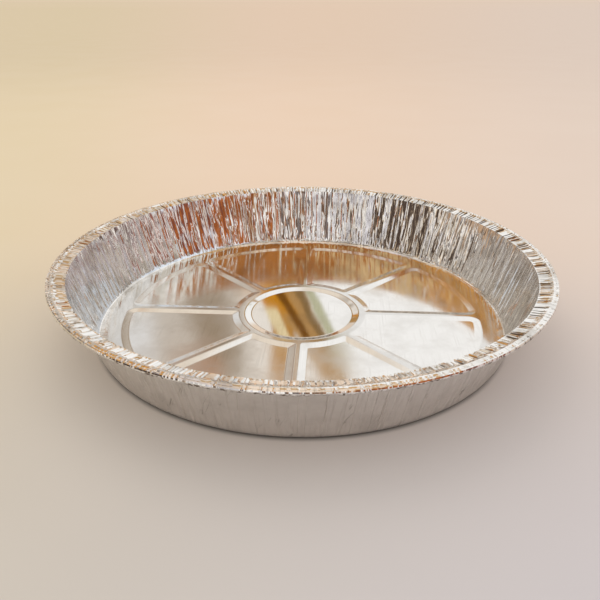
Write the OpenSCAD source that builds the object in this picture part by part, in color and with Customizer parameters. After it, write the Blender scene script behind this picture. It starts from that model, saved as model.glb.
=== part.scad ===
// Round pie tin, pressed from one disc of thin aluminium foil.
// The press gathers the spare foil into upright folds in the wall and crimps
// in the flange, rolls the edge outwards and under, and sinks panels and a
// middle disc into the base, which leaves a raised web like a wheel.
// Millimetres, +Z up. The origin is the middle of the base, on the table.

/* [Tin] */
// Diameter over the rolled rim
rim_d = 228; // [190:1:270]
// Height from the table to the top of the rim
height = 32.5; // [22:0.5:45]
// Lean of the wall from upright, in degrees
wall_lean = 17.2; // [8:0.2:22]
// Thickness of the foil
foil_t = 0.1; // [0.08:0.01:0.14]
// Width of the bend between the base and the wall
heel_w = 0.9; // [0.5:0.1:2]

/* [Rim] */
// Width of the crimped flange, from the wall to the roll
flange_w = 4.6; // [3:0.1:9]
// Rise of the flange over its width
flange_rise = 1.15; // [0:0.05:2]
// Width of the rolled edge
roll_w = 3.6; // [2.6:0.1:5]
// Height of the rolled edge
roll_h = 2.1; // [1.6:0.1:3]
// Height of the crest that stands between the flange and the roll
crest_h = 0.5; // [0.2:0.05:0.8]
// Depth of the groove round the top of the roll
groove_h = 0.3; // [0.1:0.05:0.5]

/* [Gathers] */
// Gathers round the wall for each panel of the base
gathers_per_panel = 24; // [8:4:28]
// Depth of a gather in the wall
gather_h = 0.6; // [0.1:0.05:0.9]
// Depth of a crimp in the flange
crimp_h = 0.55; // [0.1:0.05:0.8]
// How much the gathers differ from each other
unevenness = 0.5; // [0:0.05:0.6]
// Start number of the uneven pattern
pattern_seed = 7; // [1:1:99]

/* [Pressed base] */
// Panels sunk round the middle disc
panels = 8; // [6:1:10]
// Depth of the panels and the disc below the web
press_h = 0.65; // [0.4:0.05:1.2]
// Width of the slope round a panel and round the disc
slope_w = 3.2; // [2:0.1:4]
// Diameter of the middle disc at its floor
disc_d = 50; // [30:1:60]
// Width of the ring of web round the disc
hub_w = 2.8; // [1.5:0.1:5]
// Width of the web along a spoke
spoke_w = 2; // [1:0.1:4]
// Width of the flat border between the panels and the wall
border_w = 10; // [7:0.5:14]
// Corner radius of a panel's floor, beside the border
corner_out = 1.8; // [0.8:0.1:3]
// Corner radius of a panel, beside the ring
corner_in = 1.4; // [0.6:0.1:2.5]

/* [Hidden] */

// Radii and heights of the upper face of the foil
rim_r = rim_d / 2;
roll_r = rim_r - roll_w;
flange_r = roll_r - flange_w;
web_z = press_h + foil_t;
roll_z = height - crest_h;
flange_z = roll_z - flange_rise;
foot_r = flange_r - (flange_z - web_z) * tan(wall_lean);
hub_r = disc_d / 2 + slope_w;

// Steps round the tin: fine ones follow the gathers, and coarse ones the rest
fine_per_coarse = 4;
sector = 360 / panels;
fine_count = 2 * gathers_per_panel * panels;
coarse_count = fine_count / fine_per_coarse;
coarse_per_panel = coarse_count / panels;
hub_per_panel = 8;
hub_count = hub_per_panel * panels;

// Steps along half of a panel's outline
inner_steps = 2;
corner_in_steps = 2;
corner_out_steps = 4;
outer_steps = 5;
side_start = inner_steps + corner_in_steps;
side_end = side_start + 1;
half_steps = side_end + corner_out_steps + outer_steps;
outline_count = 2 * half_steps;

// Uneven depth and place of each fold, the same from foot to flange
fold_depth = rands(1 - unevenness, 1, fine_count, pattern_seed);
fold_shift = rands(-unevenness / 2, unevenness / 2, fine_count, pattern_seed + 1);
fold_slant = rands(-unevenness / 2, unevenness / 2, fine_count, pattern_seed + 2);

// Places across the roll, as shares of its width from the crest's foot
crest_at = 0.32;
groove_at = 0.68;
bead_at = 0.88;

// The outside of the roll down to the hem, as shares of its width and height
roll_side = [[1, 0.4], [0.92, 0.8], [0.66, 1], [0.3, 0.86]];

// Section of the foil's upper face from the border outwards, as
// [radius, height, steps round, swing in radius, swing in height]
heel = [foot_r + heel_w * sin(wall_lean), web_z + heel_w * cos(wall_lean)];
belly = (heel + [flange_r, flange_z]) / 2;
section = [
    [foot_r - heel_w, web_z, coarse_count, 0, 0],
    [heel.x, heel.y, fine_count, gather_h / 2, 0],
    [belly.x, belly.y, fine_count, gather_h, 0],
    [flange_r, flange_z, fine_count, gather_h / 2, crimp_h / 2],
    [roll_r, roll_z, fine_count, 0, crimp_h],
    [roll_r + crest_at * roll_w, height, coarse_count, 0, 0],
    [roll_r + groove_at * roll_w, height - groove_h, coarse_count, 0, 0],
    [roll_r + bead_at * roll_w, height - groove_h / 3, coarse_count, 0, 0],
    for (p = roll_side)
        [roll_r + p.x * roll_w, height - p.y * roll_h, coarse_count, 0, 0]
];
last_ring = len(section) - 1;

function unit(v) = v / norm(v);
function turn(p, a) = [p.x * cos(a) - p.y * sin(a), p.x * sin(a) + p.y * cos(a)];
function sum_to(v, n, i = 0) = i >= n ? 0 : v[i] + sum_to(v, n, i + 1);
function at_height(list, z) = [for (p = list) [p.x, p.y, z]];
function run(list, from, to) = [for (i = [from : from < to ? 1 : -1 : to]) list[i]];
function flip(face) = run(face, len(face) - 1, 0);
function arc(centre, r, from, to, steps, first = 0) =
    [for (s = [first : steps]) let (a = from + (to - from) * s / steps) centre + r * [cos(a), sin(a)]];

// Normal of the section between two of its points, towards the lower face
function edge_normal(j) =
    let (d = j <= 0 ? [1, 0] : unit([section[j][0] - section[j - 1][0], section[j][1] - section[j - 1][1]]))
    [d.y, -d.x];

// Way from the upper face to the lower one at a point of the section
function through_foil(j) =
    let (a = edge_normal(j), b = edge_normal(min(j + 1, last_ring)))
    (a + b) * foil_t / (1 + a * b);

// One ring of the wall, the flange or the roll, on the upper or lower face
function ring_points(j, lower) =
    let (s = section[j], t = lower ? through_foil(j) : [0, 0], climb = (s[1] - web_z) / height - 0.5)
    [for (i = [0 : s[2] - 1])
        let (
            folded = s[2] == fine_count ? 1 : 0,
            swing = folded * fold_depth[i] * (i % 2 == 0 ? -0.5 : 0.5),
            stray = folded * (fold_shift[i] + fold_slant[i] * climb),
            a = (i + stray) * 360 / s[2],
            r = s[0] + t.x + swing * s[3]
        )
        [r * cos(a), r * sin(a), s[1] + t.y + swing * s[4]]];

// Half of a panel's outline, beside a spoke that lies along X: from the middle
// of its inner edge, round the corners, to the middle of its outer edge
function half_outline(side, r_in, c_in, r_out, c_out) =
    let (
        y_in = side + c_in,
        x_in = sqrt(pow(r_in + c_in, 2) - y_in * y_in),
        a_in = atan2(y_in, x_in),
        y_out = side + c_out,
        x_out = sqrt(pow(r_out - c_out, 2) - y_out * y_out),
        a_out = atan2(y_out, x_out)
    )
    concat(
        arc([0, 0], r_in, sector / 2, a_in, inner_steps),
        arc([x_in, y_in], c_in, 180 + a_in, 270, corner_in_steps, 1),
        arc([x_out, y_out], c_out, -90, a_out, corner_out_steps),
        arc([0, 0], r_out, a_out, sector / 2, outer_steps, 1)
    );

// Whole outline of panel k, from two halves that mirror each other
function outline(k, half) =
    concat(
        [for (i = [0 : half_steps]) turn(half[i], k * sector)],
        [for (i = [half_steps - 1 : -1 : 1]) turn([half[i].x, -half[i].y], (k + 1) * sector)]
    );

panel_in_r = hub_r + hub_w;
panel_out_r = foot_r - border_w;
rim_half = half_outline(
    spoke_w / 2, panel_in_r, corner_in,
    panel_out_r, corner_out + slope_w
);
floor_half = half_outline(
    spoke_w / 2 + slope_w, panel_in_r + slope_w, corner_in,
    panel_out_r - slope_w, corner_out
);
panel_mid_r = (panel_in_r + panel_out_r) / 2;

// All points of one face of the foil, from the middle outwards
function face_points(lower) =
    let (drop = lower ? foil_t : 0)
    concat(
        [[0, 0, foil_t - drop]],
        at_height(arc([0, 0], panel_mid_r, sector / 2, 360 - sector / 2, panels - 1), foil_t - drop),
        at_height(arc([0, 0], disc_d / 2, 0, 360 - 360 / hub_count, hub_count - 1), foil_t - drop),
        at_height(arc([0, 0], hub_r, 0, 360 - 360 / hub_count, hub_count - 1), web_z - drop),
        [for (k = [0 : panels - 1]) each at_height(outline(k, floor_half), foil_t - drop)],
        [for (k = [0 : panels - 1]) each at_height(outline(k, rim_half), web_z - drop)],
        [for (j = [0 : last_ring]) each ring_points(j, lower)]
    );

// Number of a point within one face
disc_mid_id = 0;
disc_start = 1 + panels;
hub_start = disc_start + hub_count;
floor_start = hub_start + hub_count;
rim_start = floor_start + panels * outline_count;
ring_start = [
    for (j = [0 : last_ring + 1])
        rim_start + panels * outline_count + sum_to([for (s = section) s[2]], j)
];
function panel_mid_id(k) = 1 + k;
function disc_id(i) = disc_start + i % hub_count;
function hub_id(i) = hub_start + (i + hub_count) % hub_count;
function on_outline(k, i) = (k + panels) % panels * outline_count + i % outline_count;
function floor_id(k, i) = floor_start + on_outline(k, i);
function rim_id(k, i) = rim_start + on_outline(k, i);
function ring_id(j, i) = ring_start[j] + (i + section[j][2]) % section[j][2];
face_count = ring_start[last_ring + 1];

// A fan of triangles from a middle point to the loop round it
function fan(middle, loop) =
    [for (i = [0 : len(loop) - 1]) [middle, loop[(i + 1) % len(loop)], loop[i]]];

// A strip of triangles between two loops of points, the second one outside
function strip(inside, outside) =
    [for (i = [0 : len(inside) - 1])
        let (n = (i + 1) % len(inside))
        each [[inside[i], inside[n], outside[n]], [inside[i], outside[n], outside[i]]]];

// A strip from a coarse ring to a fine one: a fan at each coarse point
function fans(coarse, fine, outwards) =
    [for (i = [0 : len(coarse) - 1])
        let (
            n = (i + 1) % len(coarse),
            f = [for (s = [0 : fine_per_coarse]) fine[(i * fine_per_coarse + s) % len(fine)]],
            h = fine_per_coarse / 2,
            near = [for (s = [0 : fine_per_coarse - 1]) [coarse[s < h ? i : n], f[s + 1], f[s]]],
            all = concat(near, [[coarse[i], coarse[n], f[h]]])
        )
        each outwards ? all : [for (t = all) flip(t)]];

function ring_ids(j) = [for (i = [0 : section[j][2] - 1]) ring_id(j, i)];
function band(j) =
    section[j][2] == section[j + 1][2] ? strip(ring_ids(j), ring_ids(j + 1))
    : section[j][2] < section[j + 1][2] ? fans(ring_ids(j), ring_ids(j + 1), true)
    : fans(ring_ids(j + 1), ring_ids(j), false);

// Triangles between two rows of points that run the same way, the second row
// outside, each closed by the shorter of the two lines across
upper_points = face_points(false);
function apart(a, b) = norm(upper_points[a] - upper_points[b]);
function seam(near, far, i = 0, j = 0) =
    let (near_left = i < len(near) - 1, far_left = j < len(far) - 1)
    !near_left && !far_left ? []
    : near_left && (!far_left || apart(near[i + 1], far[j]) < apart(near[i], far[j + 1]))
        ? concat([[near[i], near[i + 1], far[j]]], seam(near, far, i + 1, j))
        : concat([[near[i], far[j + 1], far[j]]], seam(near, far, i, j + 1));

// The flat web round spoke k, out to the middle of the panel on each side, in
// patches that meet at the spoke's own line
function web_piece(k) =
    let (
        hub = [for (i = [0 : hub_per_panel]) hub_id(hub_per_panel * (k - 0.5) + i)],
        left = [for (i = [0 : half_steps]) rim_id(k - 1, outline_count - i)],
        right = [for (i = [0 : half_steps]) rim_id(k, i)],
        ring = [for (i = [0 : coarse_per_panel]) ring_id(0, coarse_per_panel * (k - 0.5) + i)],
        hub_mid = hub_per_panel / 2,
        ring_mid = coarse_per_panel / 2
    )
    concat(
        seam(run(hub, 0, hub_mid), run(left, 0, side_start)),
        seam([hub[hub_mid]], [left[side_start], right[side_start]]),
        seam(run(hub, hub_mid, hub_per_panel), run(right, side_start, 0)),
        seam([left[side_start], right[side_start]], [left[side_end], right[side_end]]),
        seam(run(left, half_steps, side_end), run(ring, 0, ring_mid)),
        seam([left[side_end], right[side_end]], [ring[ring_mid]]),
        seam(run(right, side_end, half_steps), run(ring, ring_mid, coarse_per_panel))
    );

disc_ids = [for (i = [0 : hub_count - 1]) disc_id(i)];
sheet_faces = concat(
    fan(disc_mid_id, disc_ids),
    strip(disc_ids, [for (i = [0 : hub_count - 1]) hub_id(i)]),
    [for (k = [0 : panels - 1])
        let (
            floor_ids = [for (i = [0 : outline_count - 1]) floor_id(k, i)],
            rim_ids = [for (i = [0 : outline_count - 1]) rim_id(k, i)]
        )
        each concat(fan(panel_mid_id(k), floor_ids), strip(floor_ids, rim_ids), web_piece(k))],
    [for (j = [0 : last_ring - 1]) each band(j)]
);

// The cut edge of the foil, tucked under the roll
hem_ids = ring_ids(last_ring);
hem_faces = strip(hem_ids, [for (id = hem_ids) id + face_count]);

module tin() {
    color("silver")
        polyhedron(
            points = concat(upper_points, face_points(true)),
            faces = concat(
                sheet_faces,
                [for (f = sheet_faces) [for (id = flip(f)) id + face_count]],
                hem_faces
            ),
            convexity = 10
        );
}

tin();
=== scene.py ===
"""A round foil pie tin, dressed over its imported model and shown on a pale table.

The tin is one sheet of thin foil, so it is made as one piece: a pressed base, a
gathered wall, a crimped flange and a rolled edge are drawn as one open surface,
and the surface then gets the thickness of the foil. Sizes are in millimetres
until the piece is finished, and the origin is the middle of the base.
"""

import logging
import math
from dataclasses import dataclass, field
from enum import Enum

import bmesh
import bpy
import numpy as np
from bmesh.types import BMEdge, BMesh, BMVert
from mathutils import Matrix, Vector


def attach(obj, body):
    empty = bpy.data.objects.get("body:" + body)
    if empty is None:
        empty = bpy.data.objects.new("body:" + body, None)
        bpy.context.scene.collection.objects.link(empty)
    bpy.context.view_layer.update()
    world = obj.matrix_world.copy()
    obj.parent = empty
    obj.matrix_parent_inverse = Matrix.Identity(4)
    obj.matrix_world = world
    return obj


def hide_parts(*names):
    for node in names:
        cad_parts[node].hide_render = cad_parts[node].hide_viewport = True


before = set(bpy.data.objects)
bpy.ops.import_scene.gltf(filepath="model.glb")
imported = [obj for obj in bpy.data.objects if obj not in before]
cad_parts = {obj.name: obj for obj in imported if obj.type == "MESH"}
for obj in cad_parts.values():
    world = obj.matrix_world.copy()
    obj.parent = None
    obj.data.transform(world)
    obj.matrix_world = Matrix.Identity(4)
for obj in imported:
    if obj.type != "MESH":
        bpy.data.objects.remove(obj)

log = logging.getLogger("pie_tin")

MM = 0.001  # one millimetre, in metres
WELD = 0.002  # points this close are one point, in millimetres
LEVEL = 0.99999  # least upward part of a level face's direction
UP = Vector((0.0, 0.0, 1.0))
ORIGIN = Vector((0.0, 0.0, 0.0))
Colour = tuple[float, float, float]


class Skin(Enum):
    """The four faces of the foil, in the order of the piece's material slots."""

    BASE_INSIDE = 0
    SIDE_INSIDE = 1
    BASE_OUTSIDE = 2
    SIDE_OUTSIDE = 3


class Follow(Enum):
    """What a finish takes its pattern's place from."""

    OBJECT = "Object"
    SURFACE = "UV"


def shade(*shown: int) -> Colour:
    """Turns a colour as a screen shows it into the light that it stands for.

    Args:
        shown: Red, green and blue, from 0 to 255.

    Returns:
        The same colour in linear light, from 0 to 1.
    """
    parts = (value / 255 for value in shown)
    return tuple(p / 12.92 if p <= 0.04045 else ((p + 0.055) / 1.055) ** 2.4 for p in parts)


def towards(azimuth: float, elevation: float) -> Vector:
    """Gives the direction of an azimuth and an elevation.

    Args:
        azimuth: Degrees round +Z from +X.
        elevation: Degrees above the table.

    Returns:
        A unit vector.
    """
    a, e = math.radians(azimuth), math.radians(elevation)
    return Vector((math.cos(a) * math.cos(e), math.sin(a) * math.cos(e), math.sin(e)))


# Drawing with points

def new_points(result: dict) -> list[BMVert]:
    """Picks the new points out of an operator's result.

    Args:
        result: What a bmesh operator gave back.

    Returns:
        The points.
    """
    return [item for item in result["geom"] if isinstance(item, BMVert)]


def edges_between(sheet: BMesh, points: set[BMVert]) -> list[BMEdge]:
    """Finds the edges that join two of the given points.

    Args:
        sheet: Mesh to look in.
        points: The points.

    Returns:
        The edges, in the order in which they were drawn.
    """
    return [edge for edge in sheet.edges if points.issuperset(edge.verts)]


def as_mesh(name: str, sheet: BMesh) -> bpy.types.Mesh:
    """Turns a drawn sheet into a mesh and lets the sheet go.

    Args:
        name: Name of the mesh.
        sheet: The sheet.

    Returns:
        The mesh.
    """
    mesh = bpy.data.meshes.new(name)
    sheet.to_mesh(mesh)
    sheet.free()
    return mesh


def in_scene(name: str, data: bpy.types.ID) -> bpy.types.Object:
    """Puts a new object into the scene, at the origin.

    Args:
        name: Name of the object.
        data: Its mesh, lamp or camera.

    Returns:
        The object.
    """
    thing = bpy.data.objects.new(name, data)
    bpy.context.scene.collection.objects.link(thing)
    return thing


@dataclass
class Pen:
    """Draws a line of edges from one point, by arcs and straight moves."""

    sheet: BMesh
    start: Vector
    points: list[BMVert] = field(default_factory=list)

    def __post_init__(self) -> None:
        """Puts the first point down."""
        self.points.append(self.sheet.verts.new(self.start))

    def arc(self, centre: Vector, degrees: float, steps: int) -> None:
        """Turns the last point about a centre, which draws an arc.

        Args:
            centre: Middle of the arc.
            degrees: Angle of the arc, anticlockwise from above.
            steps: Edges along the arc.
        """
        turn = Matrix.Rotation(math.radians(degrees) / steps, 4, UP)
        about = Matrix.Translation(centre) @ turn @ Matrix.Translation(-centre)
        for _ in range(steps):
            self._step(about)

    def move_to(self, place: Vector) -> None:
        """Draws a straight edge.

        Args:
            place: Where the edge ends.
        """
        self._step(Matrix.Translation(place - self.points[-1].co))

    def close(self) -> list[BMEdge]:
        """Joins the last point to the first.

        Returns:
            All edges of the closed outline.
        """
        self.sheet.edges.new((self.points[-1], self.points[0]))
        return edges_between(self.sheet, set(self.points))

    def _step(self, change: Matrix) -> None:
        """Extrudes the last point and moves the new one.

        Args:
            change: Move of the new point.
        """
        made = bmesh.ops.extrude_vert_indiv(self.sheet, verts=[self.points[-1]])
        self.points.append(made["verts"][0])
        bmesh.ops.transform(self.sheet, matrix=change, verts=[self.points[-1]])


# The tin

@dataclass
class Gathers:
    """The uneven gathers round the side, with the creases on each.

    Every gather is a strip of the side with the same few columns of points. Two of
    its columns make a steep narrow face and the others a broad one, so each fold
    follows its own columns and stays crisp. The gathers lean and wander a little as
    they climb and change their height at every level.

    Attributes:
        count: Number of gathers round the tin.
        unevenness: How much the gathers differ, from 0 to 1.
        slant: How much the gathers lean from foot to rim, in gathers.
        levels: Number of levels at which a gather turns and changes its height.
        seed: Start number of the pattern.
        tuck_gain: How soon a crimp that dips counts as folded in and gets painted shade.
        places: Place of every column round the tin, from 0 to 1, at each level.
        folds: Height of every column on the wall, as a share of the gathers' depth.
        crimps: The same on the flange and the roll.
        creases: The same for the fine creases.
        tuck_shades: How much shade is painted into the folded-in crimp at every column, about 0 to 1.
    """

    count: int = 192
    unevenness: float = 0.7
    slant: float = 1.2
    levels: int = 15
    seed: int = 11
    tuck_gain: float = 2.4
    places: np.ndarray = field(init=False)
    folds: np.ndarray = field(init=False)
    crimps: np.ndarray = field(init=False)
    creases: np.ndarray = field(init=False)
    tuck_shades: np.ndarray = field(init=False)

    def __post_init__(self) -> None:
        """Draws the lots for every gather from the seed."""
        lot = np.random.default_rng(self.seed)
        across = np.array((0.0, 0.1, 0.2, 0.36, 0.52, 0.68, 0.84))
        fold = np.array((0.5, 0.0, -0.5, -0.3, -0.1, 0.1, 0.3))
        turned = lot.random(self.count)[:, None] < 0.5
        shape = (self.levels, self.count)

        # Where the columns are
        stray = lot.uniform(-0.25, 0.25, self.count) * self.unevenness
        lean = np.zeros(self.count)
        for i in range(1, self.count):
            lean[i] = 0.85 * lean[i - 1] + lot.uniform(-0.25, 0.25)
        climb = np.linspace(-0.5, 0.5, self.levels)[:, None]
        wander = lot.uniform(-0.09, 0.09, shape) * self.unevenness
        starts = np.arange(self.count) + stray + lean * self.slant * climb + wander
        widths = np.diff(starts, axis=1, append=starts[:, :1] + self.count)
        inside = np.where(turned, self._turn(1 - across, 0.0), across)
        self.places = (starts[..., None] + inside * widths[..., None]) / self.count

        # How high they stand
        size = lot.uniform(1 - self.unevenness, 1, shape) * lot.uniform(0.5, 1, self.count)
        rows = np.where(turned, self._turn(fold, 0.5), fold)
        self.folds = size[..., None] * rows * self._rise(lot)[..., None]
        tilt = lot.uniform(-0.35, 0.35, (self.count, 1)) * (across - 0.5)
        bar = np.array((0.35, -0.3, -0.5, 0.0, 0.35, 0.3, 0.3)) + tilt
        bar[:, 5] = lot.uniform(-0.45, 0.25, self.count)
        bars = np.where(turned, self._turn(bar, 0.35), bar)
        self.crimps = lot.uniform(0.5, 1, (1, self.count, 1)) * bars * np.ones((self.levels, 1, 1))
        self.creases = lot.uniform(-0.5, 0.5, (self.levels, self.count, len(across)))

        # How much shade is painted into the folded-in crimps: most at the right and least in front
        deep = np.clip(-self.tuck_gain * bars, 0, 1) * lot.uniform(0.35, 1, (1, self.count, 1))
        turn = 2 * np.pi * self.places
        shade_round_rim = 0.85 + 0.5 * np.cos(turn) + 0.35 * np.sin(turn) + 0.2 * np.cos(2 * turn)
        self.tuck_shades = deep * lot.uniform(0.5, 1, (*shape, 1)) * shade_round_rim

    def _turn(self, row: np.ndarray, first: float) -> np.ndarray:
        """Turns the columns of a gather the other way round.

        Args:
            row: One value for each column, along the last axis.
            first: The value of the gather's first column, which stays first.

        Returns:
            The values in the turned order.
        """
        start = np.full((*row.shape[:-1], 1), first)
        return np.concatenate((start, row[..., :0:-1]), axis=-1)

    def _rise(self, lot: np.random.Generator) -> np.ndarray:
        """Lets each gather start at its own height over the heel.

        Args:
            lot: Where the lots are drawn from.

        Returns:
            The share of each gather's depth at each level.
        """
        climb = np.linspace(0, 1, self.levels)[:, None]
        return np.clip((climb - lot.uniform(-0.06, 0.02, self.count)) / 0.1, 0.3, 1)

    def at(self, table: np.ndarray, climb: float) -> np.ndarray:
        """Reads one of the tables between two levels.

        Args:
            table: The table, by level, gather and column.
            climb: How far along the section, from 0 at the foot to 1 at the hem.

        Returns:
            One value for each column round the tin.
        """
        level = climb * (self.levels - 1)
        low = min(int(level), self.levels - 2)
        part = level - low
        return (table[low] * (1 - part) + table[low + 1] * part).ravel()

    def sway(self, turns: np.ndarray) -> np.ndarray:
        """Gives the slow waves of the side.

        Args:
            turns: Places round the tin, from 0 to 1.

        Returns:
            The height of the waves at each place, about -0.5 to 0.5.
        """
        waves = ((13, 0.1), (29, 0.4), (43, 0.75))
        return sum(np.sin(math.tau * (turns * n + shift)) for n, shift in waves) / 6


@dataclass
class Ring:
    """One point of the tin's section, turned into a ring round it.

    Attributes:
        radius: Distance from the middle.
        height: Height over the table.
        fold: Depth of the gathers there.
        crumple: Depth of the fine creases there.
        tuck_shade: How much shade is painted into the folded-in crimps there, from 0 to 1.
    """

    radius: float
    height: float
    fold: float = 0.0
    crumple: float = 0.0
    tuck_shade: float = 0.0


@dataclass
class PressedBase:
    """The base: a disc and panels sunk in a raised web like a wheel.

    Attributes:
        panels: Number of panels.
        web_height: Height of the raised web.
        floor_height: Height of the sunk disc and panels.
        disc_radius: Radius of the sunk disc.
        slope: Width of the slope round the disc and each panel.
        hub_width: Width of the ring between the disc and the panels.
        spoke_width: Width of a spoke.
        panel_reach: Outer radius of the panels.
        corner_out: Radius of their outer corners.
        corner_in: Radius of their inner corners.
        reach: Radius at which the side takes over.
        arc_steps: Edges along the disc's rim for each panel.
        rim_steps: Edges along the outer rim for each panel.
        edge_round: Width of the rounding on a pressed edge.
        edge_angle: Least angle of a pressed edge, in radians.
    """

    panels: int = 8
    web_height: float = 0.75
    floor_height: float = 0.1
    disc_radius: float = 25.0
    slope: float = 3.2
    hub_width: float = 2.8
    spoke_width: float = 2.0
    panel_reach: float = 86.48
    corner_out: float = 1.8
    corner_in: float = 1.4
    reach: float = 93.0
    arc_steps: int = 18
    rim_steps: int = 168
    edge_round: float = 0.32
    edge_angle: float = 0.06

    @property
    def sector(self) -> float:
        """Angle of one panel with its half of a spoke on each side."""
        return 360 / self.panels

    @property
    def hub_radius(self) -> float:
        """Radius of the top of the disc's slope."""
        return self.disc_radius + self.slope

    def build(self, sheet: BMesh) -> None:
        """Draws the whole base as one open surface.

        Args:
            sheet: Mesh to draw in.
        """
        self._sector(sheet)
        first = sheet.verts[:] + sheet.edges[:] + sheet.faces[:]
        for k in range(1, self.panels):
            copy = bmesh.ops.duplicate(sheet, geom=first)
            turn = Matrix.Rotation(math.radians(k * self.sector), 3, UP)
            bmesh.ops.rotate(sheet, verts=new_points(copy), cent=ORIGIN, matrix=turn)
        bmesh.ops.remove_doubles(sheet, verts=sheet.verts[:], dist=WELD)
        self._disc(sheet)
        bmesh.ops.remove_doubles(sheet, verts=sheet.verts[:], dist=WELD)
        bmesh.ops.recalc_face_normals(sheet, faces=sheet.faces[:])
        self._soften(sheet)

    def _sector(self, sheet: BMesh) -> None:
        """Draws one panel and the flat web round it.

        Args:
            sheet: Mesh to draw in.
        """
        lip = self._outline(sheet, self.web_height, 0.0)
        floor = self._outline(sheet, self.floor_height, self.slope)
        bmesh.ops.bridge_loops(sheet, edges=lip + floor)
        bmesh.ops.contextual_create(sheet, geom=floor)
        pen = Pen(sheet, Vector((self.hub_radius, 0, self.web_height)))
        pen.arc(ORIGIN, self.sector, self.arc_steps)
        pen.move_to(towards(self.sector, 0) * self.reach + UP * self.web_height)
        pen.arc(ORIGIN, -self.sector, self.rim_steps)
        bmesh.ops.triangle_fill(sheet, use_beauty=True, edges=lip + pen.close(), normal=UP)

    def _outline(self, sheet: BMesh, height: float, inset: float) -> list[BMEdge]:
        """Draws the outline of the panel beside the spoke that lies along X.

        Args:
            sheet: Mesh to draw in.
            height: Height over the table.
            inset: How far the outline lies inside the top of the panel's slope.

        Returns:
            The edges of the closed outline.
        """
        side = self.spoke_width / 2 + inset
        near, far = self.hub_radius + self.hub_width + inset, self.panel_reach - inset
        tight, wide = self.corner_in, self.corner_out + self.slope - inset
        first = Vector((math.sqrt((near + tight) ** 2 - (side + tight) ** 2), side + tight, height))
        last = Vector((math.sqrt((far - wide) ** 2 - (side + wide) ** 2), side + wide, height))
        bend_in = math.degrees(math.atan2(first.y, first.x))
        bend_out = math.degrees(math.atan2(last.y, last.x))
        half = self.sector / 2
        pen = Pen(sheet, towards(half, 0) * near + UP * height)
        pen.arc(ORIGIN, bend_in - half, self.arc_steps // 3)
        pen.arc(first, 90 - bend_in, 5)
        pen.move_to(Vector((last.x, side, height)))
        pen.arc(last, 90 + bend_out, 8)
        pen.arc(ORIGIN, half - bend_out, self.arc_steps // 2)
        drawn = edges_between(sheet, set(pen.points))
        mirrored = new_points(bmesh.ops.duplicate(sheet, geom=pen.points + drawn))
        flip = Matrix.Scale(-1, 4, towards(half + 90, 0))
        bmesh.ops.transform(sheet, matrix=flip, verts=mirrored)
        ring = pen.points + mirrored
        bmesh.ops.remove_doubles(sheet, verts=ring, dist=WELD)
        return edges_between(sheet, {point for point in ring if point.is_valid})

    def _disc(self, sheet: BMesh) -> None:
        """Adds the sunk disc and its slope.

        Args:
            sheet: Mesh to draw in.
        """
        rows = []
        for radius, height, cap in (
            (self.hub_radius, self.web_height, False),
            (self.disc_radius, self.floor_height, True),
        ):
            made = bmesh.ops.create_circle(
                sheet, cap_ends=cap, segments=self.panels * self.arc_steps, radius=radius,
                matrix=Matrix.Translation(UP * height),
            )
            rows += edges_between(sheet, set(made["verts"]))
        bmesh.ops.bridge_loops(sheet, edges=rows)

    def _soften(self, sheet: BMesh) -> None:
        """Rounds the pressed edges.

        Args:
            sheet: Mesh that holds the base alone.
        """
        inner = [edge for edge in sheet.edges if len(edge.link_faces) == 2]
        pressed = [edge for edge in inner if edge.calc_face_angle() > self.edge_angle]
        bmesh.ops.bevel(
            sheet, geom=pressed, offset=self.edge_round, affect="EDGES", segments=3,
            profile=0.5, material=-1,
        )
        for face in sheet.faces:
            face.material_index = Skin.BASE_INSIDE.value
            face.smooth = True


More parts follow.
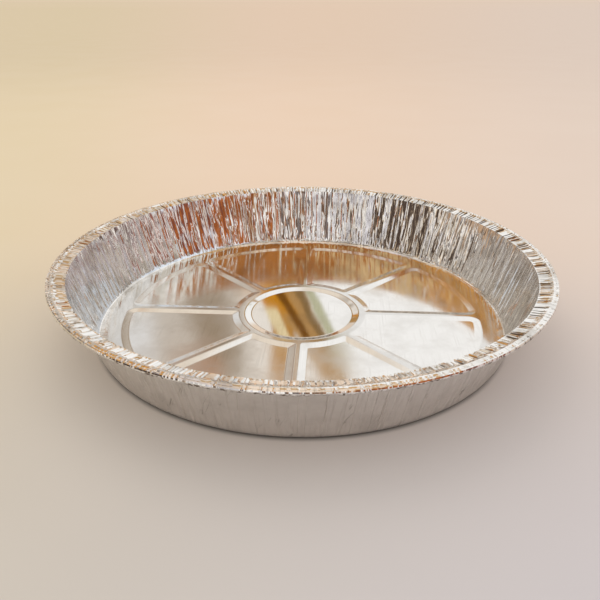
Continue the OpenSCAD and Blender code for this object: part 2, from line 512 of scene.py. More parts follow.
@dataclass
class FoldedSide:
    """The gathered wall, the crimped flange and the rolled edge.

    Attributes:
        rim_radius: Radius over the rolled edge.
        rim_height: Height of the crest.
        foot_radius: Radius of the wall's foot.
        web_height: Height of the base's flat border.
        lean: Lean of the wall, in degrees from upright.
        wall_rise: Height of the wall over its foot.
        bulge: How far the wall bulges half-way up.
        flange_radius: Radius of the flange's inner edge.
        flange_height: Height of that edge.
        flange_width: Width of the flange.
        flange_rise: How far it rises over its width.
        gather_depth: Depth of the wall's gathers.
        crimp_depth: Depth of the flange's crimps.
        crumple_depth: Depth of the wall's fine creases.
        slow_share: Share of the slow waves in a gather's height.
        base_reach: Radius at which the side takes over.
        ease_length: Length over which the gathers take their places.
        hem_rings: Rings from where the roll turns under.
        gathers: The pattern of the gathers.
    """

    rim_radius: float = 114.0
    rim_height: float = 32.5
    foot_radius: float = 96.48
    web_height: float = 0.75
    lean: float = 17.2
    wall_rise: float = 28.6
    bulge: float = 0.35
    flange_radius: float = 105.8
    flange_height: float = 31.0
    flange_width: float = 4.6
    flange_rise: float = 0.8
    gather_depth: float = 0.5
    crimp_depth: float = 0.6
    crumple_depth: float = 0.3
    slow_share: float = 0.5
    base_reach: float = 93.0
    ease_length: float = 3.4
    hem_rings: int = 4
    gathers: Gathers = field(default_factory=Gathers)

    @property
    def columns(self) -> int:
        """Steps round the side."""
        return self.gathers.places[0].size

    @property
    def hem_start(self) -> float:
        """Length along the section at which the rolled edge turns under."""
        return self._lengths(self._wall() + self._flange() + self._roll())[-self.hem_rings]

    def _wall(self) -> list[Ring]:
        """Rings of the heel and the wall, from the flat of the base upwards."""
        slope = math.tan(math.radians(self.lean))
        # The flat border and the bend at the heel
        rings = [
            Ring(self.base_reach, self.web_height),
            Ring(95.3, self.web_height),
            Ring(95.95, self.web_height + 0.05),
            Ring(96.4, self.web_height + 0.32, 0.03, 0.02),
        ]
        shares = [(0.95, 0.25), (1.9, 0.75)]
        shares += [(rise, 1.0) for rise in (3.6, 6.4, 9.5, 12.7, 16.0, 19.2, 22.4, 25.6)]
        for rise, share in (*shares, (self.wall_rise, 0.85)):
            fold, crumple = self.gather_depth * share, self.crumple_depth * share
            part = rise / self.wall_rise
            radius = self.foot_radius + rise * slope + 4 * self.bulge * part * (1 - part)
            rings.append(Ring(radius, self.web_height + rise, fold, crumple))
        return rings

    def _flange(self) -> list[Ring]:
        """Rings of the bead at the mouth and of the flange."""
        start, rise = self.flange_radius, self.flange_rise / self.flange_width
        rings = [Ring(start + 0.1, self.flange_height + 0.12, 0.14, 0.08, 0.2)]
        for along, share in ((0.6, 0.75), (1.5, 1.0), (2.9, 1.0), (4.1, 0.95)):
            height, fold = self.flange_height + along * rise, self.crimp_depth * share
            rings.append(Ring(start + along, height, fold, 0.12, share))
        return rings

    def _roll(self) -> list[Ring]:
        """Rings of the crest, the groove, the rolled edge and its hem."""
        top, edge = self.rim_height, self.rim_radius
        return [
            Ring(edge - 3.3, top - 0.46, 0.4, 0.1, 0.7),
            Ring(edge - 2.65, top - 0.16, 0.05, 0.06),
            Ring(edge - 2.1, top - 0.18, 0.05, 0.06),
            Ring(edge - 1.45, top - 0.44, 0.26, 0.2, 0.5),
            Ring(edge - 0.9, top - 0.3, 0.12, 0.14, 0.25),
            Ring(edge - 0.46, top - 0.48, 0.12, 0.14, 0.4),
            Ring(edge - 0.24, top - 0.95, 0.14, 0.14, 0.7),
            Ring(edge - 0.34, top - 1.5, 0.3, 0.2, 0.9),
            Ring(edge - 0.7, top - 1.9, 0.5, 0.3, 0.9),
            Ring(edge - 1.4, top - 1.8, 0.6, 0.4, 1.0),
        ]

    def build(self, sheet: BMesh) -> None:
        """Draws the side as one open surface, from the flat of the base to the hem.

        Args:
            sheet: Mesh to draw in.
        """
        rings = self._wall() + self._flange() + self._roll()
        level = sheet.verts.layers.int.new("level")
        points = [sheet.verts.new((ring.radius, 0, ring.height)) for ring in rings]
        for j, point in enumerate(points):
            point[level] = j
        section = [sheet.edges.new(pair) for pair in zip(points, points[1:])]
        bmesh.ops.spin(
            sheet, geom=points + section, cent=ORIGIN, axis=UP, angle=math.tau,
            steps=self.columns, use_merge=True,
        )
        lengths = self._lengths(rings)
        self._lay_pattern(sheet, lengths, level)
        self._fold(sheet, rings, lengths, level)
        for face in sheet.faces:
            face.material_index = Skin.SIDE_INSIDE.value
            face.smooth = True

    def _lengths(self, rings: list[Ring]) -> list[float]:
        """Length along the section up to each ring.

        Args:
            rings: The rings, from the base to the hem.

        Returns:
            One length for each ring.
        """
        lengths = [0.0]
        for a, b in zip(rings, rings[1:]):
            lengths.append(lengths[-1] + math.hypot(b.radius - a.radius, b.height - a.height))
        return lengths

    def _fold(self, sheet: BMesh, rings: list[Ring], lengths: list[float], level: object) -> None:
        """Moves the points of every ring to the gathers that cross it, square to the section.

        Args:
            sheet: Mesh that holds the side alone.
            rings: The rings, from the base to the hem.
            lengths: Length along the section up to each ring.
            level: Layer that gives a point's ring.
        """
        mouth = len(self._wall())
        even = np.arange(self.columns) / self.columns
        tuck_shade = sheet.verts.layers.float.new("tuck_shade")
        spots = []
        for j, ring in enumerate(rings):
            before, after = rings[max(j - 1, 0)], rings[min(j + 1, len(rings) - 1)]
            run, rise = after.radius - before.radius, after.height - before.height
            long = math.hypot(run, rise)
            climb = lengths[j] / lengths[-1]
            eased = min(lengths[j] / self.ease_length, 1.0)
            turns = even + (self.gathers.at(self.gathers.places, climb) - even) * eased
            main = self.gathers.folds if j < mouth else self.gathers.crimps
            waves = self.slow_share * self.gathers.sway(turns)
            height = ring.fold * (self.gathers.at(main, climb) + waves)
            height += ring.crumple * self.gathers.at(self.gathers.creases, climb)
            radius, lift = ring.radius - height * rise / long, ring.height + height * run / long
            # Share of painted shade in the folded-in crimps, kept on each point
            dark = ring.tuck_shade * self.gathers.at(self.gathers.tuck_shades, climb)
            spots.append((turns, radius, lift, dark))
        for point in sheet.verts:
            column = round(math.atan2(point.co.y, point.co.x) / math.tau * self.columns)
            turn, radius, lift, dark = (row[column % self.columns] for row in spots[point[level]])
            point.co = towards(turn * 360, 0) * radius + UP * lift
            point[tuck_shade] = dark

    def _lay_pattern(self, sheet: BMesh, lengths: list[float], level: object) -> None:
        """Gives the side a flat pattern: round the tin by along its section, in metres.

        Args:
            sheet: Mesh that holds the side alone.
            lengths: Length along the section up to each ring.
            level: Layer that gives a point's ring.
        """
        flat = sheet.loops.layers.uv.new("flat")
        for face in sheet.faces:
            turns = [
                math.atan2(loop.vert.co.y, loop.vert.co.x) / math.tau % 1.0 for loop in face.loops
            ]
            for loop, turn in zip(face.loops, turns):
                # A face across the seam counts on from the last turn
                if max(turns) > 0.9 and turn < 0.1:
                    turn += 1.0
                across = turn * math.tau * self.flange_radius
                loop[flat].uv = (across * MM, lengths[loop.vert[level]] * MM)


# Finishes

# Painted shade in the gaps of the hem
HEM_GAP_SHADE: Colour = (0.13, 0.085, 0.05)
# Painted shade in the folded-in crimps
TUCK_SHADE: Colour = (0.07, 0.042, 0.024)
# Painted shade in the creases
CREASE_SHADE: Colour = (0.24, 0.21, 0.18)
# Painted shadow on the table under the tin
CONTACT_SHADOW: Colour = (0.1, 0.08, 0.065)
# Painted pool of light that the foil throws on the table
FOIL_LIGHT_POOL: Colour = (1.0, 1.0, 0.98)
MOTTLED: Colour = (0.9, 0.8, 0.72)


class Nodes:
    """Adds and joins the nodes of one tree."""

    def __init__(self, tree: bpy.types.NodeTree) -> None:
        """Empties the tree.

        Args:
            tree: Tree of a material or of the world.
        """
        self.tree = tree
        tree.nodes.clear()

    def add(self, kind: str, inputs: dict | None = None, **settings: object) -> bpy.types.Node:
        """Adds a node.

        Args:
            kind: Blender's name of the node type.
            inputs: Values or output sockets for the node's inputs, by name or number.
            settings: Other properties of the node.

        Returns:
            The node.
        """
        node = self.tree.nodes.new(kind)
        for name, value in settings.items():
            setattr(node, name, value)
        for name, value in (inputs or {}).items():
            if isinstance(value, bpy.types.NodeSocket):
                self.tree.links.new(value, node.inputs[name])
            else:
                node.inputs[name].default_value = value
        return node

    def sums(self, operation: str, *values: object) -> bpy.types.NodeSocket:
        """Adds a Math node.

        Args:
            operation: Name of the operation.
            values: Its numbers or sockets, in order.

        Returns:
            The node's output.
        """
        return self.add("ShaderNodeMath", dict(enumerate(values)), operation=operation).outputs[0]

    def ease(self, value: bpy.types.NodeSocket, span: tuple, to: tuple = (0.0, 1.0)) -> object:
        """Adds a Map Range node that eases from one value to another.

        Args:
            value: Socket to read.
            span: Values between which it goes from one to the other.
            to: The two results.

        Returns:
            The node's output.
        """
        ends = dict(enumerate((value, *span, *to)))
        return self.add("ShaderNodeMapRange", ends, interpolation_type="SMOOTHSTEP").outputs[0]

    def mix(self, share: object, first: object, second: object) -> bpy.types.NodeSocket:
        """Adds a Mix node for colours.

        Args:
            share: Share of the second colour.
            first: First colour or socket.
            second: Second colour or socket.

        Returns:
            The node's output.
        """
        node = self.add("ShaderNodeMix", data_type="RGBA")
        for number, value in ((0, share), (6, first), (7, second)):
            if isinstance(value, bpy.types.NodeSocket):
                self.tree.links.new(value, node.inputs[number])
            else:
                node.inputs[number].default_value = (*value, 1) if number else value
        return node.outputs[2]

    def noise(self, place: object, scale: tuple, detail: float, rough: float) -> object:
        """Adds a noise pattern.

        Args:
            place: Socket that gives the place on the piece, in metres.
            scale: Waves in a metre along each direction.
            detail: Finer layers of the pattern.
            rough: Strength of the finer layers.

        Returns:
            The pattern's output, about 0 to 1.
        """
        at = self.add("ShaderNodeMapping", {"Vector": place, "Scale": scale})
        inputs = {"Vector": at.outputs[0], "Scale": 1.0, "Detail": detail, "Roughness": rough}
        return self.add("ShaderNodeTexNoise", inputs).outputs[0]


@dataclass(frozen=True)
class FoilFinish:
    """Bare aluminium foil: bright or satin, with its rolling grain and soft dents, and painted shade
    in its hem, folded-in crimps and creases where asked.

    Attributes:
        name: Name of the material.
        follow: What the pattern's place comes from.
        bright: Colour of the clean metal.
        dull: Colour of the metal where it is rubbed.
        roughness: Least and greatest roughness.
        grain: Waves in a metre of the rolling grain, along each direction.
        grain_depth: Depth of the grain, in metres.
        dents: Waves in a metre of the soft dents, along each direction.
        dent_depth: Depth of the dents, in metres.
        crease_depth: Depth of the few short slanted creases, in metres; the creases also get painted
            shade.
        hem: Length along the section from which shade is painted into the gaps of the crushed hem, in
            metres.
        polished: Distance from the middle up to which the metal is smoothest, in metres.
    """

    name: str
    follow: Follow
    bright: Colour
    dull: Colour
    roughness: tuple[float, float]
    grain: tuple[float, float, float]
    grain_depth: float
    dents: tuple[float, float, float]
    dent_depth: float
    crease_depth: float = 0.0
    hem: float = 0.0
    polished: float = 0.0

    def make(self) -> bpy.types.Material:
        """Makes the material.

        Returns:
            The material.
        """
        material = bpy.data.materials.new(self.name)
        material.use_nodes = True
        nodes = Nodes(material.node_tree)
        place = nodes.add("ShaderNodeTexCoord").outputs[self.follow.value]
        rubbed = nodes.noise(place, (60, 60, 60), 4, 0.6)
        grain = nodes.noise(place, self.grain, 3, 0.6)
        dents = nodes.noise(place, self.dents, 2, 0.5)
        worn = nodes.ease(rubbed, (0.42, 0.68))
        lines = nodes.ease(grain, (0.45, 0.75))
        colour = nodes.mix(nodes.sums("MAXIMUM", worn, lines), self.bright, self.dull)
        rough = nodes.ease(rubbed, (0.35, 0.7), self.roughness)
        if self.polished:
            reach = nodes.add("ShaderNodeVectorMath", {0: place}, operation="LENGTH").outputs["Value"]
            share = nodes.ease(reach, (self.polished, self.polished + 4 * MM), (0.36, 1.0))
            rough = nodes.sums("MULTIPLY", rough, share)
            # The raised web is a little duller
            height = nodes.add("ShaderNodeSeparateXYZ", {0: place}).outputs[2]
            web = nodes.ease(height, (0.6 * MM, 0.85 * MM), (0.0, 0.75))
            colour = nodes.mix(web, colour, tuple(0.82 * part for part in self.dull))
        if self.hem:
            # Painted shade in the gaps of the crushed hem
            colour = nodes.mix(self._painted_hem_shade(nodes, place), colour, HEM_GAP_SHADE)
            # Painted shade in the folded-in crimps
            tuck_shade = nodes.add("ShaderNodeAttribute", attribute_name="tuck_shade").outputs["Fac"]
            colour = nodes.mix(nodes.ease(tuck_shade, (0.03, 0.62), (0.0, 0.94)), colour, TUCK_SHADE)
        bumps = [(self.dent_depth, dents), (self.grain_depth, grain)]
        if self.crease_depth:
            creased = self._creases(nodes, place)
            bumps.append((self.crease_depth, creased))
            # Painted shade darkens the creases as well as their bump
            colour = nodes.mix(nodes.sums("MULTIPLY", creased, 0.5), colour, CREASE_SHADE)
        fine = None
        for depth, height in bumps:
            inputs = {"Strength": 1.0, "Distance": depth, "Height": height}
            if fine:
                inputs["Normal"] = fine.outputs[0]
            fine = nodes.add("ShaderNodeBump", inputs)
        inputs = {"Base Color": colour, "Metallic": 1.0, "Roughness": rough}
        metal = nodes.add("ShaderNodeBsdfPrincipled", {**inputs, "Normal": fine.outputs[0]})
        nodes.add("ShaderNodeOutputMaterial", {"Surface": metal.outputs[0]})
        material.diffuse_color = (*self.bright, 1)
        return material

    def _creases(self, nodes: Nodes, place: bpy.types.NodeSocket) -> object:
        """Adds the few short slanted creases.

        Args:
            nodes: The material's nodes.
            place: Socket of the place on the foil.

        Returns:
            A socket that is 1 on a crease and 0 off it.
        """
        turned = nodes.add("ShaderNodeMapping", {"Vector": place, "Rotation": (0, 0, 0.42)})
        wave = nodes.noise(turned.outputs[0], (800, 45, 1), 0, 0.5)
        off = nodes.sums("ABSOLUTE", nodes.sums("SUBTRACT", wave, 0.5))
        few = nodes.ease(nodes.noise(place, (210, 120, 1), 0, 0.5), (0.64, 0.7))
        return nodes.sums("MULTIPLY", nodes.ease(off, (0.0, 0.03), (1.0, 0.0)), few)

    def _painted_hem_shade(self, nodes: Nodes, place: bpy.types.NodeSocket) -> object:
        """Adds the painted shade in the gaps of the crushed hem.

        Args:
            nodes: The material's nodes.
            place: Socket of the place on the foil.

        Returns:
            A socket that is 1 in a gap and 0 off it.
        """
        axes = nodes.add("ShaderNodeSeparateXYZ", {0: place})
        zone = nodes.ease(axes.outputs[1], (self.hem - 0.4 * MM, self.hem + 0.6 * MM))
        gaps = nodes.ease(nodes.noise(place, (420, 300, 1), 2, 0.6), (0.5, 0.6))
        return nodes.sums("MULTIPLY", zone, gaps)


@dataclass(frozen=True)
class TableFinish:
    """A plain pale table top, greyer near the camera and creamier to the left and far away, with a
    painted pool of light round the tin and a painted shadow under it.

    Attributes:
        near: Colours near the camera, on the left and on the right.
        far: Colours far away, on the left, in the middle and on the right.
        distant: Colour at the far edge of the table, all round.
        painted_light: Share of white painted close to the tin, a painted pool of the light that the
            foil throws on the table.
    """

    near: tuple[Colour, Colour]
    far: tuple[Colour, Colour, Colour]
    distant: Colour
    painted_light: float = 0.2

    def make(self) -> bpy.types.Material:
        """Makes the material.

        Returns:
            The material.
        """
        material = bpy.data.materials.new("table top")
        material.use_nodes = True
        nodes = Nodes(material.node_tree)
        place = nodes.add("ShaderNodeTexCoord").outputs["Object"]
        axes = nodes.add("ShaderNodeSeparateXYZ", {0: place})
        # Left to right is the angle from a point in front of the tin
        away = nodes.sums("MAXIMUM", nodes.sums("ADD", axes.outputs[1], 0.45), 0.1)
        across = nodes.sums("DIVIDE", axes.outputs[0], away)
        left, middle, right = self.far
        near = nodes.mix(nodes.ease(across, (-0.6, 0.45)), *self.near)
        far = nodes.mix(nodes.ease(across, (-0.42, -0.05)), left, middle)
        far = nodes.mix(nodes.ease(across, (-0.05, 0.4)), far, right)
        reach = nodes.add("ShaderNodeVectorMath", {0: place}, operation="LENGTH").outputs["Value"]
        near = nodes.mix(nodes.ease(reach, (0.28, 0.9)), near, self.distant)
        colour = nodes.mix(nodes.ease(axes.outputs[1], (-0.18, 0.12)), near, far)
        colour = nodes.mix(nodes.ease(reach, (18.0, 34.0)), colour, self.distant)
        # Painted pool of light near the tin, where the foil throws light on the table
        painted_light = nodes.ease(reach, (0.08, 0.16), (self.painted_light, 0.0))
        colour = nodes.mix(painted_light, colour, FOIL_LIGHT_POOL)
        # Painted contact shadow on the table under the tin's heel
        contact_shadow = nodes.ease(reach, (0.095, 0.0985), (0.8, 0.0))
        colour = nodes.mix(contact_shadow, colour, CONTACT_SHADOW)
        mottle = nodes.noise(place, (9, 9, 9), 2, 0.5)
        colour = nodes.mix(nodes.ease(mottle, (0.3, 0.7), (0.0, 0.05)), colour, MOTTLED)
        matt = {"Base Color": colour, "Roughness": 0.9, "Specular IOR Level": 0.0}
        skin = nodes.add("ShaderNodeBsdfPrincipled", matt)
        nodes.add("ShaderNodeOutputMaterial", {"Surface": skin.outputs[0]})
        return material


@dataclass
class PieTin:
    """The whole tin, one piece of foil.

    Attributes:
        name: Name of the piece.
        foil: Thickness of the foil.
        crease_angle: Angle from which a crease stays crisp, in degrees.
        base: The pressed base.
        side: The side and the rolled edge.
    """

    name: str = "pie_tin"
    foil: float = 0.1
    crease_angle: float = 16.0
    base: PressedBase = field(default_factory=PressedBase)
    side: FoldedSide = field(default_factory=FoldedSide)

    def finishes(self) -> dict[Skin, FoilFinish]:
        """The finish of each face of the foil."""
        return {
            Skin.BASE_INSIDE: FoilFinish(
                "bright foil, base", Follow.OBJECT,
                bright=(0.88, 0.875, 0.865), dull=(0.8, 0.79, 0.775), roughness=(0.1, 0.155),
                grain=(1400, 30, 30), grain_depth=1.5e-6, dents=(26, 14, 20), dent_depth=1.6e-4,
                polished=(self.base.disc_radius + self.base.slope / 2) * MM,
            ),
            Skin.SIDE_INSIDE: FoilFinish(
                "bright foil, gathered side", Follow.SURFACE,
                bright=(0.91, 0.902, 0.89), dull=(0.62, 0.595, 0.56), roughness=(0.05, 0.1),
                grain=(1100, 60, 1), grain_depth=1.5e-5, dents=(170, 50, 1), dent_depth=2.0e-4,
                hem=self.side.hem_start * MM,
            ),
            Skin.BASE_OUTSIDE: FoilFinish(
                "satin foil, underside", Follow.OBJECT,
                bright=(0.83, 0.83, 0.825), dull=(0.74, 0.74, 0.735), roughness=(0.3, 0.42),
                grain=(1400, 40, 40), grain_depth=6.0e-6, dents=(30, 18, 20), dent_depth=1.2e-4,
            ),
            Skin.SIDE_OUTSIDE: FoilFinish(
                "satin foil, outside", Follow.SURFACE,
                bright=(0.785, 0.752, 0.72), dull=(0.68, 0.645, 0.612), roughness=(0.28, 0.42),
                grain=(700, 60, 1), grain_depth=1.0e-5, dents=(120, 60, 1), dent_depth=1.0e-4,
                crease_depth=3.0e-4,
            ),
        }

    def build(self) -> bpy.types.Object:
        """Makes the piece, gives the foil its thickness and dresses it.

        Returns:
            The finished piece.
        """
        sheet = self._sheet()
        bmesh.ops.scale(sheet, vec=(MM, MM, MM), verts=sheet.verts[:])
        mesh = as_mesh(self.name, sheet)
        self._mark_creases(mesh)
        piece = in_scene(self.name, mesh)
        finishes = self.finishes()
        for skin in Skin:
            mesh.materials.append(finishes[skin].make())
        wall = piece.modifiers.new("foil thickness", "SOLIDIFY")
        wall.thickness = self.foil * MM
        wall.offset = -1.0
        wall.use_even_offset = True
        wall.material_offset = Skin.BASE_OUTSIDE.value
        wall.material_offset_rim = Skin.BASE_OUTSIDE.value
        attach(piece, "root")
        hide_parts("tin")
        return piece

    def _mark_creases(self, mesh: bpy.types.Mesh) -> None:
        """Keeps the creases crisp and the level parts of the base flat as a mirror.

        Args:
            mesh: Mesh of the piece.
        """
        mesh.set_sharp_from_angle(angle=math.radians(self.crease_angle))
        for face in mesh.polygons:
            inside = face.material_index == Skin.BASE_INSIDE.value
            if inside and face.normal.z > LEVEL:
                face.use_smooth = False

    def _sheet(self) -> BMesh:
        """Joins the side to the base, with every face looking up or inwards.

        Returns:
            The foil as one open surface, in millimetres.
        """
        sheet = bmesh.new()
        self.side.build(sheet)
        base = bmesh.new()
        self.base.build(base)
        spare = as_mesh("spare", base)
        sheet.from_mesh(spare)
        bpy.data.meshes.remove(spare)
        bmesh.ops.remove_doubles(sheet, verts=sheet.verts[:], dist=2 * WELD)
        bmesh.ops.recalc_face_normals(sheet, faces=sheet.faces[:])
        flat = max(sheet.faces, key=lambda face: face.calc_area())
        if flat.normal.z < 0:
            bmesh.ops.reverse_faces(sheet, faces=sheet.faces[:])
        return sheet


# The setting

@dataclass(frozen=True)
class Card:
    """One soft-edged part of the room that the foil mirrors.

    Attributes:
        azimuth: Direction of its middle, in degrees round from +X.
        elevation: Direction of its middle over the table, in degrees.
        width: Its width, in degrees.
        height: Its height, in degrees.
        soft: Width of its soft edge, in degrees.
        shown: Its colour as a screen shows it, from 0 to 255.
        lean: How far it leans, in degrees of azimuth for each degree of elevation.
    """

    azimuth: float
    elevation: float
    width: float
    height: float
    soft: float
    shown: tuple[int, int, int]
    lean: float = 0.0


# The busy parts of the room near table height, in the order in which they are laid
LOW_CARDS = (
    Card(96, -14, 360, 40, 10, (222, 204, 186)),
    Card(150, 8, 84, 16, 8, (204, 170, 138)),
    Card(228, 10, 84, 22, 8, (230, 226, 230)),
    Card(288, 10, 24, 22, 6, (184, 138, 104)),
    Card(206, 12, 34, 26, 6, (212, 188, 160)),
    Card(188, 12, 3, 16, 2, (58, 46, 40)),
    Card(231, 14, 2.5, 16, 2, (58, 46, 40)),
    Card(14, 8, 44, 22, 8, (156, 132, 130)),
    Card(345, 8, 30, 22, 5, (154, 92, 76)),
    Card(270, 0, 230, 3, 1.5, (58, 46, 40)),
    Card(78, 10, 10, 5, 3, (128, 104, 84)),
    Card(106, 8, 18, 8, 3, (226, 182, 142)),
)

# The calm parts that the base mirrors, laid over them
HIGH_CARDS = (
    Card(205, 13, 10, 18, 3, (82, 68, 60)),
    Card(218, 14, 5, 22, 2, (82, 68, 60)),
    Card(295, 14, 9, 22, 4, (196, 156, 122)),
    Card(322, 22, 44, 6, 3, (228, 224, 232)),
    Card(319, 5, 30, 20, 4, (178, 102, 54)),
    Card(300, 13, 4, 12, 2, (142, 84, 48)),
    Card(334, 12, 5, 18, 3, (140, 80, 58)),
    Card(287, 12, 5, 20, 2, (255, 253, 250)),
    Card(311, 14, 2, 18, 1.5, (255, 253, 250)),
    Card(345, 12, 2.5, 14, 2, (236, 220, 216)),
    Card(0, 80, 360, 28, 6, (216, 176, 128)),
    Card(182, 72, 130, 18, 8, (232, 220, 214)),
    Card(0, 90, 360, 32, 4, (246, 226, 206)),
    Card(18, 28, 74, 24, 6, (236, 244, 255)),
    Card(338, 50, 30, 14, 8, (196, 170, 142)),
    Card(34, 50, 76, 12, 8, (236, 229, 218)),
    Card(96, 46, 80, 18, 6, (240, 226, 208)),
    Card(86, 57, 80, 7, 3, (208, 172, 126)),
    Card(60, 34, 60, 44, 5, (255, 253, 250)),
    Card(100, 14, 26, 7, 4, (240, 218, 196)),
    Card(112, 30, 32, 14, 4, (204, 193, 180)),
    Card(97.5, 29, 2.6, 12, 0.9, (240, 232, 222)),
    Card(102.2, 29, 3.0, 7, 1.6, (156, 138, 116), lean=-0.3),
    Card(111, 28, 3, 6, 1.5, (232, 230, 228)),
    Card(104.5, 33.4, 3.6, 2.6, 1.4, (184, 134, 98)),
    Card(94.9, 29.5, 2.0, 14, 0.5, (186, 134, 66)),
    Card(93.0, 27.7, 3.0, 16, 0.5, (184, 142, 88), lean=-0.64),
    Card(95.9, 25.8, 2.6, 3.0, 0.6, (206, 138, 34), lean=-0.64),
    Card(95.3, 28.9, 0.9, 3.0, 0.4, (232, 212, 168), lean=-0.5),
    Card(93.9, 27.4, 0.6, 5, 0.4, (116, 72, 22), lean=-0.64),
    Card(91.6, 28.0, 0.5, 8, 0.3, (134, 104, 64), lean=-0.64),
    Card(90.1, 28.5, 0.6, 8, 0.5, (190, 188, 156), lean=-0.64),
    Card(98.8, 24.9, 0.8, 1.0, 0.6, (186, 134, 66)),
    Card(124, 43, 12, 8, 4, (196, 134, 72)),
    Card(142, 46, 28, 8, 6, (216, 160, 90)),
    Card(172, 54, 30, 8, 6, (206, 148, 82)),
    Card(268, 58, 156, 21, 5, (180, 116, 58)),
    Card(210, 50, 52, 9, 5, (222, 188, 138)),
)


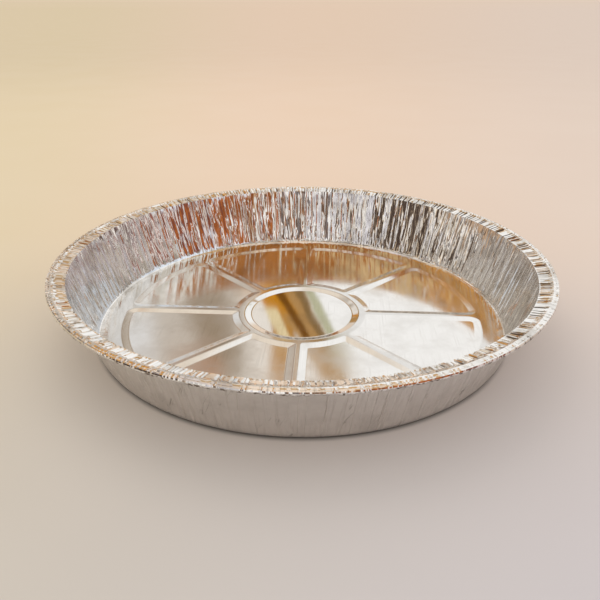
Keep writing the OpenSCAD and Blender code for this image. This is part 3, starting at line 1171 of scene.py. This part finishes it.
@dataclass
class Studio:
    """Table, soft light, the room that the foil mirrors, and the camera.

    Lengths are in metres, those of the lens in millimetres, and angles in degrees.
    """

    table_reach: float = 40.0
    sweep: float = 1.0
    floor: TableFinish = TableFinish(
        near=(shade(208, 198, 181), shade(208, 201, 202)),
        far=(shade(224, 206, 174), shade(232, 207, 184), shade(227, 209, 195)),
        distant=shade(232, 211, 189),
    )
    backdrop: Colour = shade(230, 209, 186)
    room: Colour = shade(205, 195, 182)
    clutter: float = 0.85
    clutter_dark: Colour = shade(92, 76, 68)
    clutter_light: Colour = (1.15, 1.1, 1.02)
    even: float = 0.95
    lamp_size: float = 0.9
    lamp_power: float = 1.2
    lamp_place: tuple[float, float, float] = (-0.35, 0.45, 0.95)
    focal_length: float = 35.895
    sensor: float = 36.0
    distance: float = 0.2941
    elevation: float = 26.38
    yaw: float = 3.0
    roll: float = 0.17
    target: Vector = field(default_factory=lambda: Vector((-0.889, -0.047, 6.97)) * MM)

    def build(self) -> None:
        """Sets up the table, the light, the room and the camera."""
        self._table()
        self._light()
        self._room()
        self._camera()

    def _table(self) -> None:
        """Lays the table top, which sweeps up a little far behind the tin."""
        top = bmesh.new()
        bmesh.ops.create_circle(top, cap_ends=True, segments=64, radius=self.table_reach / 2)
        far = new_points(bmesh.ops.extrude_edge_only(top, edges=top.edges[:]))
        bmesh.ops.scale(top, vec=(2, 2, 1), verts=far)
        bmesh.ops.translate(top, vec=UP * self.sweep, verts=far)
        bmesh.ops.recalc_face_normals(top, faces=top.faces[:])
        mesh = as_mesh("table_top", top)
        mesh.materials.append(self.floor.make())
        table = in_scene("table_top", mesh)

    def _light(self) -> None:
        """Hangs one wide soft lamp over the table."""
        lamp = bpy.data.lights.new("soft lamp", "AREA")
        lamp.shape = "DISK"
        lamp.size = self.lamp_size
        lamp.energy = self.lamp_power
        lamp.color = (1.0, 0.97, 0.93)
        holder = in_scene("soft lamp", lamp)
        place = Vector(self.lamp_place)
        holder.location = place
        holder.visible_glossy = False
        holder.rotation_mode = "QUATERNION"
        holder.rotation_quaternion = (-place).to_track_quat("-Z", "Y")

    def _room(self) -> None:
        """Makes the world: backdrop for the camera, room for gloss, even light for the rest."""
        world = bpy.data.worlds.new("studio")
        bpy.context.scene.world = world
        world.use_nodes = True
        nodes = Nodes(world.node_tree)
        way = nodes.add("ShaderNodeTexCoord").outputs["Generated"]
        axes = nodes.add("ShaderNodeSeparateXYZ", {0: way})
        around = nodes.sums("ARCTAN2", axes.outputs[1], axes.outputs[0])
        above = nodes.sums("ARCSINE", axes.outputs[2])
        colour: object = self.room
        for card in LOW_CARDS:
            colour = nodes.mix(self._cover(nodes, card, around, above), colour, shade(*card.shown))
        clutter = nodes.noise(way, (9, 9, 4), 3, 0.6)
        shaded = nodes.ease(clutter, (0.47, 0.42), (0.0, self.clutter))
        colour = nodes.mix(shaded, colour, self.clutter_dark)
        lit = nodes.ease(clutter, (0.55, 0.61), (0.0, self.clutter))
        colour = nodes.mix(lit, colour, self.clutter_light)
        for card in HIGH_CARDS:
            colour = nodes.mix(self._cover(nodes, card, around, above), colour, shade(*card.shown))
        ray = nodes.add("ShaderNodeLightPath")
        mirrored = nodes.add("ShaderNodeBackground", {"Color": colour})
        seen = nodes.add("ShaderNodeBackground", {"Color": (*self.backdrop, 1)})
        plain = {"Color": (1, 0.99, 0.98, 1), "Strength": self.even}
        light = nodes.add("ShaderNodeBackground", plain)
        for kind, other in (("Is Glossy Ray", mirrored), ("Is Camera Ray", seen)):
            choice = {0: ray.outputs[kind], 1: light.outputs[0], 2: other.outputs[0]}
            light = nodes.add("ShaderNodeMixShader", choice)
        nodes.add("ShaderNodeOutputWorld", {"Surface": light.outputs[0]})

    def _cover(self, nodes: Nodes, card: Card, around: object, above: object) -> object:
        """Gives the part of the room that a card covers.

        Args:
            nodes: The world's nodes.
            card: The card.
            around: Socket of the direction's azimuth, in radians.
            above: Socket of its elevation, in radians.

        Returns:
            A socket that is 1 on the card and 0 off it.
        """
        rise = nodes.sums("SUBTRACT", above, math.radians(card.elevation))
        off = nodes.sums("SUBTRACT", around, math.radians(card.azimuth))
        if card.lean:
            off = nodes.sums("SUBTRACT", off, nodes.sums("MULTIPLY", rise, card.lean))
        off = nodes.sums("ABSOLUTE", nodes.sums("WRAP", off, math.pi, -math.pi))
        rise = nodes.sums("ABSOLUTE", rise)
        soft = math.radians(card.soft)
        half, tall = math.radians(card.width / 2), math.radians(card.height / 2)
        across = nodes.ease(off, (half, half + soft), (1.0, 0.0))
        upright = nodes.ease(rise, (tall, tall + soft), (1.0, 0.0))
        if card.width >= 360:
            return upright
        return nodes.sums("MULTIPLY", across, upright)

    def _camera(self) -> None:
        """Puts the camera where the photograph was taken from."""
        lens = bpy.data.cameras.new("camera")
        lens.sensor_width = self.sensor
        lens.lens = self.focal_length
        lens.clip_start, lens.clip_end = 0.01, 100.0
        camera = in_scene("camera", lens)
        back = towards(self.yaw - 90, self.elevation)
        right = UP.cross(back).normalized()
        up = back.cross(right)
        turn = math.radians(self.roll)
        side = right * math.cos(turn) + up * math.sin(turn)
        top = up * math.cos(turn) - right * math.sin(turn)
        turned = Matrix((side, top, back)).transposed().to_4x4()
        camera.matrix_world = Matrix.Translation(self.target + back * self.distance) @ turned
        bpy.context.scene.camera = camera


def main() -> None:
    """Builds the tin and its setting."""
    logging.basicConfig(level=logging.INFO, format="%(message)s")
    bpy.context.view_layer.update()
    piece = PieTin().build()
    log.info("%s: %d points, %d faces", piece.name, len(piece.data.vertices), len(piece.data.polygons))
    Studio().build()
    bpy.context.scene.view_settings.view_transform = "Standard"
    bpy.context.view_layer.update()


if __name__ == "__main__":
    main()
